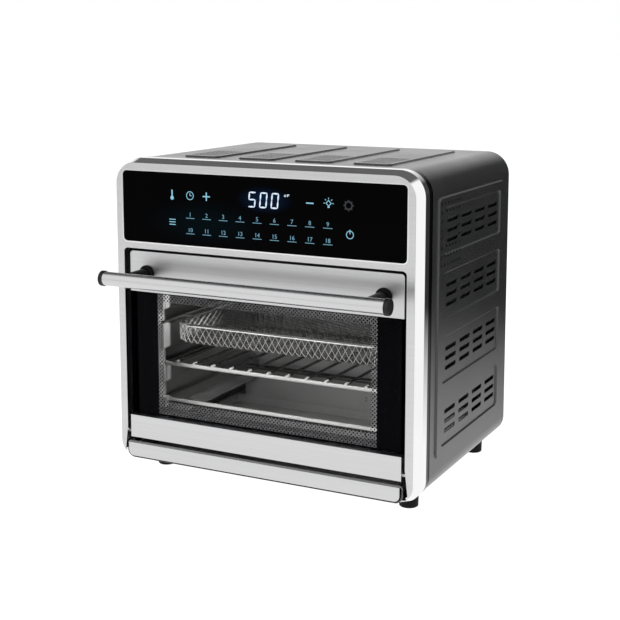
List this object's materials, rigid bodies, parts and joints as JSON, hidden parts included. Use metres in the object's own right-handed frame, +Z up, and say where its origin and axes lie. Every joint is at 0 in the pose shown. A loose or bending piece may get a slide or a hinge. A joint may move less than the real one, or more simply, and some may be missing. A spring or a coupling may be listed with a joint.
{
  "type": "toaster oven",
  "caption": "Countertop air-fry toaster oven: steel case with side louvres, flush touch panel, drop-down glass door, sliding wire rack, mesh basket and crumb tray.",
  "frame": {"origin": "on the surface under the feet, under the middle of the whole oven with its handle", "axes": "+X to the oven's right seen from the front, +Y to the back, +Z up"},
  "size_m": [0.344, 0.313, 0.339],
  "materials": {
    "wrap": "satin charcoal coating",
    "stainless": "fine horizontal brushing",
    "black_enamel": "semi-gloss black enamel",
    "control_glass": "deep black printed glass, polished",
    "door_glass": "clear toughened glass with a black printed border",
    "inner_glass": "clear toughened glass",
    "lens_glass": "pressed glass",
    "gloss_black": "glossy moulded",
    "black_plastic": "fine moulded texture",
    "rubber": "matt",
    "cavity_steel": "grey non-stick coating",
    "galvanised": "zinc-coated sheet",
    "element_sheath": "drawn sheath",
    "bright_wire": "bright plated wire",
    "basket_mesh": "bright plated mesh",
    "ceramic": "unglazed ceramic",
    "circuit_board": "soldered board",
    "motor_steel": "laminated steel",
    "fan_aluminium": "pressed",
    "screws": "plated"
  },
  "bodies": {
    "root": {"outer_wrap": "wrap", "bottom_plate": "galvanised", "feet": "rubber", "rear_panel": "wrap", "rear_screws": "screws", "rear_spacers": "black_plastic", "cord_gland": "black_plastic", "front_bezel": "stainless", "front_frame": "black_enamel", "control_glass": "control_glass", "panel_carrier": "black_plastic", "touch_board": "circuit_board", "cavity_liner": "cavity_steel", "liner_brackets": "galvanised", "side_guide_left": "cavity_steel", "side_guide_right": "cavity_steel", "lower_element_front": "element_sheath", "lower_element_rear": "element_sheath", "upper_element_front": "element_sheath", "upper_element_rear": "element_sheath", "element_insulators": "ceramic", "lamp_holder": "galvanised", "lamp_lens": "lens_glass", "temperature_probe": "bright_wire", "fan_guard": "cavity_steel", "fan_chamber": "galvanised", "motor_bracket": "galvanised", "fan_motor": "motor_steel", "power_board": "circuit_board", "board_standoffs": "black_plastic", "hinge_bracket_left": "galvanised", "hinge_bracket_right": "galvanised", "hinge_pin_left": "screws", "hinge_pin_right": "screws", "tray_runner_left": "galvanised", "tray_runner_right": "galvanised"},
    "fan": {"fan_impeller": "fan_aluminium"},
    "door": {"door_upper_rail": "stainless", "door_lower_rail": "stainless", "door_outer_glass": "door_glass", "door_frame": "black_enamel", "door_inner_glass": "inner_glass", "handle_bar": "stainless", "handle_cap_left": "gloss_black", "handle_cap_right": "gloss_black", "handle_post_left": "gloss_black", "handle_post_right": "gloss_black", "handle_screws": "screws", "hinge_spring_left": "screws", "hinge_spring_right": "screws"},
    "rack": {"wire_rack": "bright_wire"},
    "basket": {"fry_basket": "basket_mesh", "basket_frame": "bright_wire"},
    "crumb_tray": {"crumb_tray_pan": "black_enamel", "crumb_tray_front": "stainless"}
  },
  "joints": [
    {"name": "door_hinge", "type": "hinge", "parent": "root", "child": "door", "pos_m": [0, -0.1035, 0.0469], "axis": [1, 0, 0], "range_deg": [0, 85], "stiffness_Nm_per_rad": 0.6, "springref_deg": -17.19},
    {"name": "rack_slide", "type": "slide", "parent": "root", "child": "rack", "axis": [0, -1, 0], "range_m": [0, 0.08902]},
    {"name": "basket_slide", "type": "slide", "parent": "root", "child": "basket", "axis": [0, -1, 0], "range_m": [0, 0.11869]},
    {"name": "crumb_tray_slide", "type": "slide", "parent": "root", "child": "crumb_tray", "axis": [0, -1, 0], "range_m": [0, 0.15]},
    {"name": "fan_spin", "type": "hinge", "parent": "root", "child": "fan", "pos_m": [0, 0.0305, 0.25], "axis": [0, 0, 1], "continuous": true}
  ],
  "couplings": [
    {"joint": "rack_slide", "follows": "door_hinge", "m_per_rad": 0.06},
    {"joint": "basket_slide", "follows": "door_hinge", "m_per_rad": 0.08}
  ]
}
